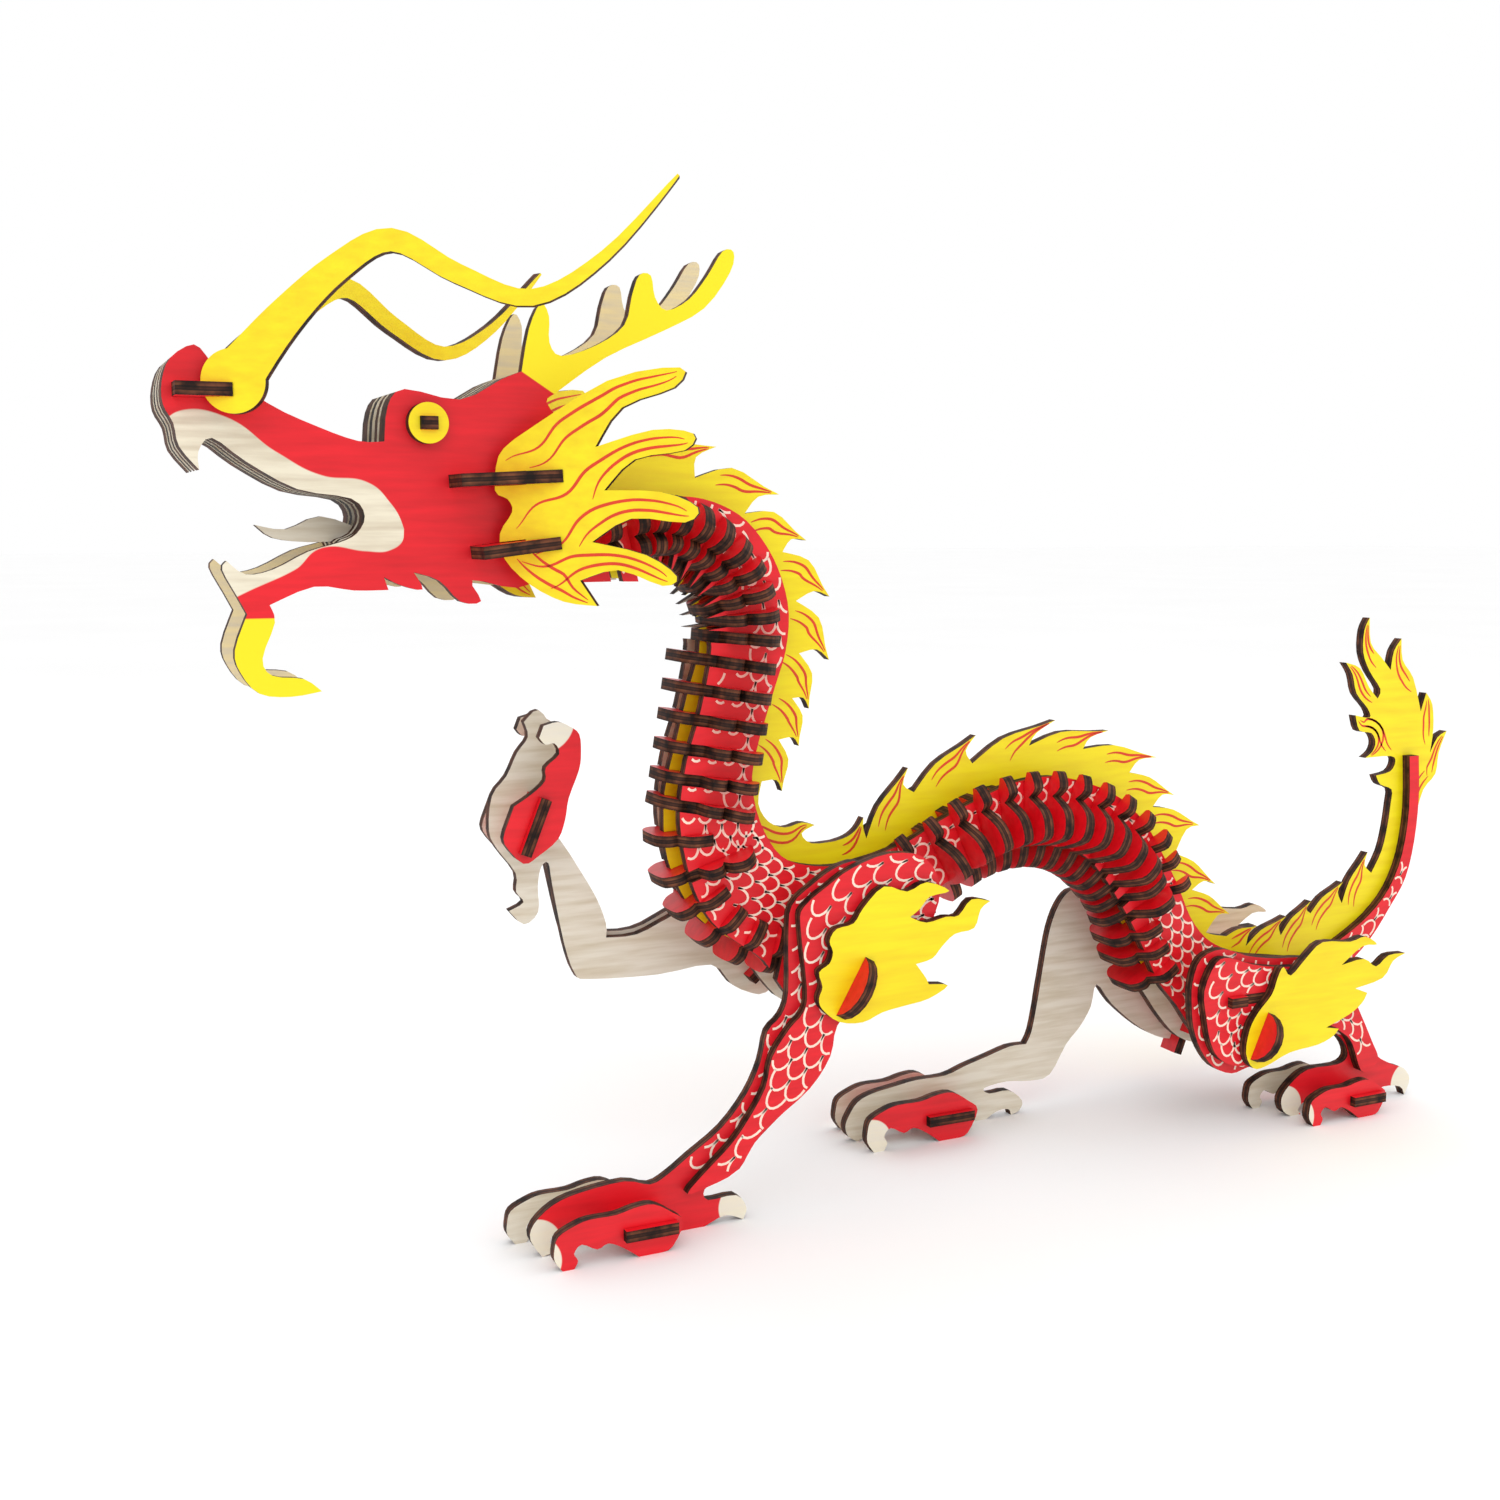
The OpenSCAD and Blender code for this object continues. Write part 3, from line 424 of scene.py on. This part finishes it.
def print_of(node):
    """The material of a node's printed face and of its other face."""
    if node.startswith(("crest", "tail_flame", "whisker", "mane_left", "mane_right")):
        return yellow, yellow
    if node.startswith(("shoulder_flame", "hip_flame", "eye_ring")):
        return yellow, wood
    if node.startswith(("head_inner", "head_core", "tongue")):
        return wood, wood
    if node.startswith("head_side"):
        return head, tan
    if "claws" in node or node.endswith("leg_inner"):
        return printed(node + "_print", RED, RED_DEEP, claw_regions(foot_spots(node))), wood
    if "side" in node or "leg" in node:
        return red, wood
    return red, red


def dress(node):
    """Gives a node's faces and edges their materials, and its edges the depth through the board."""
    mesh = nodes[node].data
    front, back = print_of(node)
    mesh.materials.clear()
    for material in (front, back, edge):
        mesh.materials.append(material)
    depth = np.zeros(len(mesh.vertices), np.float32)
    for board in boards[node]:
        for v in board.vertices:
            depth[v] = (mesh.vertices[v].co.dot(board.normal) - board.low) / (board.high - board.low)
        for p in board.polygons:
            side = board.side(p)
            mesh.polygons[p].material_index = 0 if side == 1 else 1 if side == -1 else 2
            mesh.polygons[p].use_smooth = False
    mesh.attributes.new("ply", "FLOAT", "POINT").data.foreach_set("value", depth)


for node in nodes:
    dress(node)


# ---------- ink lines ----------

INK_LIFT = 0.02 * MM
INK_DEPTH = 0.03 * MM
FLAME_WIDTH = 0.75 * MM
SCALE_WIDTH = 0.65 * MM
# Outlines and flow lines are followed in steps of this length
STEP = 0.5 * MM


class Ink:
    """Printed lines on boards, as very thin raised strips gathered into one piece."""

    def __init__(self, name, colour, width):
        self.name = name
        self.colour = colour
        self.width = width
        self.points = []
        self.faces = []

    def stroke(self, points, normal, taper):
        """One line through points on a board's face, narrower at its ends if taper is above 0."""
        if len(points) < 3:
            return
        first = len(self.points)
        last = len(points) - 1
        for i, p in enumerate(points):
            along = (points[min(i + 1, last)] - points[max(i - 1, 0)]).normalized()
            across = normal.cross(along)
            share = min(i, last - i) / last * 2
            half = self.width / 2 * (1 - taper * (1 - share) ** 2)
            lift = normal * INK_LIFT
            self.points.append(p + across * half + lift)
            self.points.append(p - across * half + lift)
        for i in range(last):
            a = first + 2 * i
            self.faces.append((a, a + 1, a + 3, a + 2))

    def make(self):
        mesh = bpy.data.meshes.new(self.name)
        mesh.from_pydata([tuple(p) for p in self.points], [], self.faces)
        piece = bpy.data.objects.new(self.name, mesh)
        bpy.context.scene.collection.objects.link(piece)
        mesh.materials.append(self.colour)
        solid = piece.modifiers.new("thickness", "SOLIDIFY")
        solid.thickness = INK_DEPTH
        solid.offset = 0
        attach(piece, "root")


def ink_material(name, colour):
    shader = Shader(name, roughness=0.45)
    shade = shader.noise(300, detail=3.0)
    veneer_bump(shader, 0.01 * MM)
    darker = tuple(0.86 * c for c in colour[:3]) + (1.0,)
    return shader.finish(shader.ramp(shade, [(0.3, darker), (0.6, colour)]))


scale_colour = ink_material("scale_ink", SCALE_INK)
flame_colour = ink_material("flame_ink", FLAME_INK)


def outline_of(board, side):
    """The outer outline of a board's face, evenly spaced and anticlockwise as seen from its front."""
    points, faces = board.face(side)
    sides = [pair for face in faces for pair in zip(face, face[1:] + face[:1])]
    known = set(sides)
    following = {a: b for a, b in sides if (b, a) not in known}
    best, longest = [], 0.0
    while following:
        start = next(iter(following))
        loop = [start]
        while following.get(loop[-1]) is not None:
            loop.append(following.pop(loop[-1]))
        line = [points[i] for i in loop]
        length = sum((b - a).length for a, b in zip(line, line[1:]))
        if length > longest:
            best, longest = line, length
    return evenly(best)


def evenly(line):
    """The same line with points a step apart."""
    out, left = [line[0]], STEP
    for a, b in zip(line, line[1:]):
        length = (b - a).length
        at = left
        while at <= length:
            out.append(a + (b - a) * (at / length))
            at += STEP
        left = at - length
    return out


# Flame lines start this far from the tip of their lick
TIP_GAP = 1.5 * MM
# An inward corner turns by more than this, between this far before it and this far after
CORNER = math.radians(48)
CORNER_REACH = 2 * MM
# Points on each side that smoothing takes in, and points that give a line's last direction
SMOOTHING = 3
LOOK = 6
# A line that carries on keeps this far from edges and other lines, and waves with this strength and length
CLEAR = 1.4 * MM
WAVE = 2.6
WAVE_LENGTH = 16 * MM
# How near the face a point has to lie to count as on the board, for flame lines and for scales
FLAME_ON_BOARD = 0.05 * MM
SCALE_ON_BOARD = 0.02 * MM
# How much narrower flame lines are at their ends
FLAME_TAPER = 0.8


def tips_of(loop, normal, reach, sharpest):
    """Where the outline turns sharply round a tip: index of each tip in the outline."""
    reach = round(reach / STEP)
    count = len(loop)
    angles = []
    for i in range(count):
        before = loop[i - reach] - loop[i]
        after = loop[(i + reach) % count] - loop[i]
        outer = after.cross(before).dot(normal) > 0
        angles.append(before.angle(after, math.pi) if outer else math.pi)
    found = []
    for i, angle in enumerate(angles):
        nearby = [angles[(i + k) % count] for k in range(-reach, reach + 1)]
        if angle < sharpest and angle == min(nearby) and all(abs(i - f) > reach for f in found):
            found.append(i)
    return found


def smooth(line):
    """The same line with each point moved to the middle of its neighbours."""
    out = []
    for i in range(len(line)):
        near = line[max(i - SMOOTHING, 0) : i + SMOOTHING + 1]
        out.append(sum(near, Vector()) / len(near))
    return out


def walk(loop, tip, way, length):
    """Indices along the outline away from a tip, up to the next inward corner."""
    count = len(loop)
    look = round(CORNER_REACH / STEP)
    path = []
    for k in range(round(length / STEP)):
        i = tip + way * k
        here = loop[i % count]
        behind = here - loop[(i - way * look) % count]
        ahead = loop[(i + way * look) % count] - here
        if k > 2 * look and behind.angle(ahead, 0) > CORNER:
            break
        path.append(i % count)
    return path


def carry_on(line, normal, tree, drawn, length):
    """The same line carried on into the body of the board, waving a little, until something is near."""
    if len(line) < 2 * LOOK:
        return line
    out = list(line)
    along = (line[-1] - line[-LOOK]).normalized()
    for k in range(round(length / STEP)):
        wave = WAVE * math.cos(2 * math.pi * k * STEP / WAVE_LENGTH) * STEP / WAVE_LENGTH
        along = (along + normal.cross(along) * wave).normalized()
        p = out[-1] + along * STEP
        aside = normal.cross(along) * CLEAR
        around = (p + aside, p - aside, p + along * CLEAR)
        if any(tree.find_nearest(q, FLAME_ON_BOARD)[0] is None for q in around):
            break
        if any((p - q).length < CLEAR for q in drawn):
            break
        out.append(p)
    return out


def draw_flames(node, ink, reach, sharpest, length, insets, beyond):
    """Lines down each lick of flame, following its long edge and meeting near its tip.

    reach and sharpest say what counts as a tip, and length how far its edge is followed. Each inset is
    a line's share of the way across the lick and its greatest distance from the edge. A line carries on
    by up to beyond.
    """
    near = round(reach / STEP)
    board = boards[node][0]
    for side in (1, -1):
        normal = board.normal * side
        loop = outline_of(board, side)
        tree = BVHTree.FromPolygons(*board.face(side))
        drawn = []
        count = len(loop)
        for tip in tips_of(loop, normal, reach, sharpest):
            back = (loop[tip - near] + loop[(tip + near) % count]) / 2
            # A mane's licks all point to the tail
            if node.startswith("mane") and loop[tip].x < back.x:
                continue
            paths = [walk(loop, tip, way, length) for way in (1, -1)]
            way, path = max(zip((1, -1), paths), key=lambda choice: len(choice[1]))
            for share, inset in insets:
                line = []
                for k, i in enumerate(path):
                    if k * STEP < TIP_GAP:
                        continue
                    here, other = loop[i], loop[(tip - way * k) % count]
                    along = (loop[(i + 2) % count] - loop[i - 2]).normalized()
                    inwards = normal.cross(along)
                    line.append(here + inwards * min(share * (other - here).length, inset))
                line = carry_on(line, normal, tree, drawn, beyond)
                drawn += line
                ink.stroke(smooth(line)[::2], normal, FLAME_TAPER)


flames = Ink("flame_lines", flame_colour, FLAME_WIDTH)
for node in ("crest_front", "crest_mid", "crest_tail", "tail_flame"):
    draw_flames(
        node, flames, reach=3 * MM, sharpest=math.radians(66), length=15 * MM,
        insets=((0.33, 1.9 * MM), (0.66, 4.4 * MM)), beyond=5 * MM)
for node in ("mane_left", "mane_right"):
    draw_flames(
        node, flames, reach=6 * MM, sharpest=math.radians(80), length=34 * MM,
        insets=((0.3, 2.4 * MM), (0.66, 6.2 * MM)), beyond=24 * MM)
flames.make()


# Points on each side that give a flow line's direction
FLOW_REACH = 20
# A scale arc is drawn in this many pieces, and one cut short at the board's edge needs more points than this
ARC_STEPS = 9
SHORTEST_RUN = 3
# How far an arc keeps from the board's edge, and how deep it is as a share of the distance between rows
SCALE_MARGIN = 0.4 * MM
SCALE_DEPTH = 0.95


class Flow:
    """A line that the scales follow, from the head towards the tail or down a limb."""

    def __init__(self, points):
        self.line = evenly(points)

    def at(self, length):
        """The place at a length along the line, and the line's direction there."""
        i = min(max(int(length / STEP), 0), len(self.line) - 2)
        a = self.line[max(i - FLOW_REACH, 0)]
        b = self.line[min(i + FLOW_REACH, len(self.line) - 1)]
        return self.line[i], (b - a).normalized()

    def nearest(self, point):
        """How far along the line its nearest point lies."""
        closest = min(range(0, len(self.line), 2), key=lambda i: (self.line[i] - point).length_squared)
        return STEP * closest

    @property
    def length(self):
        return (len(self.line) - 1) * STEP


def rib_centres(*names):
    """The middles of the ribs, in order from the head: they mark the spine."""
    middles = []
    for name in names:
        middles += [Vector((b.centre.x, 0, b.centre.z)) for b in boards[name]]
    # The first rib is high and near the head, and its height counts three times
    ordered = [min(middles, key=lambda p: p.x - 3 * p.z)]
    middles.remove(ordered[0])
    while middles:
        nearest = min(middles, key=lambda p: (p - ordered[-1]).length)
        ordered.append(nearest)
        middles.remove(nearest)
    return ordered


def mm_line(*points):
    """Points in the middle plane from x and z in millimetres."""
    return [Vector((x * MM, 0, z * MM)) for x, z in points]


def draw_scales(nodes_drawn, flow, ink, half_width, spacing, row, keep):
    """Rows of U-shaped scales along a flow line, kept where the face of the board lies.

    Lengths are in metres. keep(x, z) takes millimetres and says whether a point may be drawn.
    """
    for node in nodes_drawn:
        board = boards[node][0]
        points, faces = board.face(1)
        tree = BVHTree.FromPolygons(points, faces)
        level = points[0].dot(board.normal)
        y = level / board.normal.y
        for count in range(int(flow.length / row)):
            place, along = flow.at(count * row)
            across = Vector((-along.z, 0, along.x))
            aside, ahead = across * SCALE_MARGIN, along * SCALE_MARGIN
            # Every second row is moved by half a scale
            shift = 0.5 * (count % 2)
            columns = round(half_width / spacing) + 1
            for column in range(-columns, columns + 1):
                centre = place + across * (column + shift) * spacing
                # Where the flow line bends, scales that belong to another row are left out
                if abs(flow.nearest(centre) - count * row) > row:
                    continue
                run = []
                for k in range(ARC_STEPS + 1):
                    turn = math.pi * k / ARC_STEPS
                    wide = spacing / 2 * math.cos(turn)
                    deep = row * SCALE_DEPTH * math.sin(turn)
                    p = centre + across * wide + along * deep
                    p = Vector((p.x, y, p.z))
                    on_board = keep(p.x / MM, p.z / MM) and all(
                        tree.find_nearest(q, SCALE_ON_BOARD)[0] is not None
                        for q in (p, p + aside, p - aside, p + ahead, p - ahead))
                    if on_board:
                        run.append(p)
                    if not on_board or k == ARC_STEPS:
                        if len(run) > SHORTEST_RUN:
                            ink.stroke(run, board.normal, 0.0)
                        run = []


spine = Flow(
    rib_centres("neck_ribs_upper", "neck_ribs_lower", "back_ribs_front", "back_ribs_rear")
    + mm_line((94, 41), (108, 37), (120, 36)))
fore_limb = Flow(mm_line(
    (12, 84), (-8, 88), (-24, 82), (-34, 70), (-40, 60), (-45, 50), (-52, 38), (-64, 26), (-80, 13)))
raised_limb = Flow(mm_line((-28, 68), (-50, 67), (-72, 66), (-94, 66), (-100, 78), (-106, 92)))
thigh = Flow(mm_line((126, 52), (108, 46), (94, 38), (90, 28), (96, 14)))
shank = Flow(mm_line((128, 40), (140, 34), (147, 24), (151, 12)))
far_thigh = Flow(mm_line((112, 34), (96, 40), (80, 52), (66, 60), (58, 44), (54, 26), (52, 12)))
tail = Flow(mm_line((112, 40), (130, 38), (148, 43), (162, 52), (172, 62), (178, 74)))


def leg_boards(leg):
    return leg + "_leg_inner", leg + "_leg_outer"


def everywhere(x, z):
    return True


# On the near hind leg the thigh's scales end and the shank's begin at this x
KNEE_X = 128

scales = Ink("scale_lines", scale_colour, SCALE_WIDTH)
# For each group of boards: the flow line, then half width, spacing and row in millimetres, and where to draw
for group, flow, half_width, spacing, row, keep in (
    (("neck_side_left", "neck_side_right", "back_side_left", "back_side_right"),
     spine, 18, 4.6, 3.9, everywhere),
    (leg_boards("front_left"), fore_limb, 24, 5.4, 4.8, lambda x, z: z > 15),
    (leg_boards("front_right"), raised_limb, 16, 5.4, 4.8, lambda x, z: z < 92),
    (leg_boards("rear_left"), thigh, 20, 5.0, 4.2, lambda x, z: z > 15 and x < KNEE_X),
    (leg_boards("rear_left"), shank, 12, 5.0, 4.4, lambda x, z: z > 17 and x >= KNEE_X),
    (leg_boards("rear_right"), far_thigh, 16, 5.4, 4.8, lambda x, z: z > 24),
    (("tail_side_left", "tail_side_right"), tail, 10, 4.6, 4.2, everywhere),
):
    draw_scales(group, flow, scales, half_width * MM, spacing * MM, row * MM, keep)
scales.make()


# ---------- studio ----------


FLOOR_HALF = 12.0
LAMP_AIM = Vector((0, 0, 0.1))
# The camera was fitted to the photo: place in metres, lens and sensor in millimetres, angles in degrees
CAMERA_PLACE = (-0.2386, -0.4018, 0.1805)
CAMERA_LENS = 40.1
CAMERA_SENSOR = 36
CAMERA_TURN = 24.7
CAMERA_TILT = 7.6


def floor():
    half = FLOOR_HALF
    mesh = bpy.data.meshes.new("floor")
    mesh.from_pydata(
        [(-half, -half, 0), (half, -half, 0), (half, half, 0), (-half, half, 0)], [], [(0, 1, 2, 3)])
    piece = bpy.data.objects.new("floor", mesh)
    bpy.context.scene.collection.objects.link(piece)
    shader = Shader("pale_floor", roughness=0.9, specular=0.1)
    mesh.materials.append(
        shader.finish(shader.ramp(shader.noise(3), [(0.3, FLOOR_GREY), (0.7, FLOOR_WHITE)])))


def soft_light(name, place, size, power):
    light = bpy.data.lights.new(name, "AREA")
    light.size = size
    light.energy = power
    lamp = bpy.data.objects.new(name, light)
    lamp.location = place
    lamp.rotation_euler = (LAMP_AIM - Vector(place)).to_track_quat("-Z", "Y").to_euler()
    bpy.context.scene.collection.objects.link(lamp)


def white_world(strength):
    world = bpy.data.worlds.new("studio")
    bpy.context.scene.world = world
    world.use_nodes = True
    background = world.node_tree.nodes["Background"]
    background.inputs["Color"].default_value = (1, 1, 1, 1)
    background.inputs["Strength"].default_value = strength


def camera():
    """The camera stands at the head's left front, a little above the middle of the dragon."""
    data = bpy.data.cameras.new("camera")
    data.sensor_width = CAMERA_SENSOR
    data.lens = CAMERA_LENS
    turn, tilt = math.radians(CAMERA_TURN), math.radians(CAMERA_TILT)
    eye = bpy.data.objects.new("camera", data)
    eye.location = CAMERA_PLACE
    eye.rotation_euler = (math.pi / 2 - tilt, 0, -turn)
    bpy.context.scene.collection.objects.link(eye)
    bpy.context.scene.camera = eye


floor()
white_world(strength=1.0)
soft_light("key", (-0.5, -0.9, 1.1), size=0.9, power=3.0)
soft_light("fill", (0.7, -0.6, 0.7), size=1.0, power=1.0)
soft_light("back", (0.3, 0.9, 0.8), size=1.0, power=1.5)
camera()
bpy.context.scene.view_settings.view_transform = "Standard"
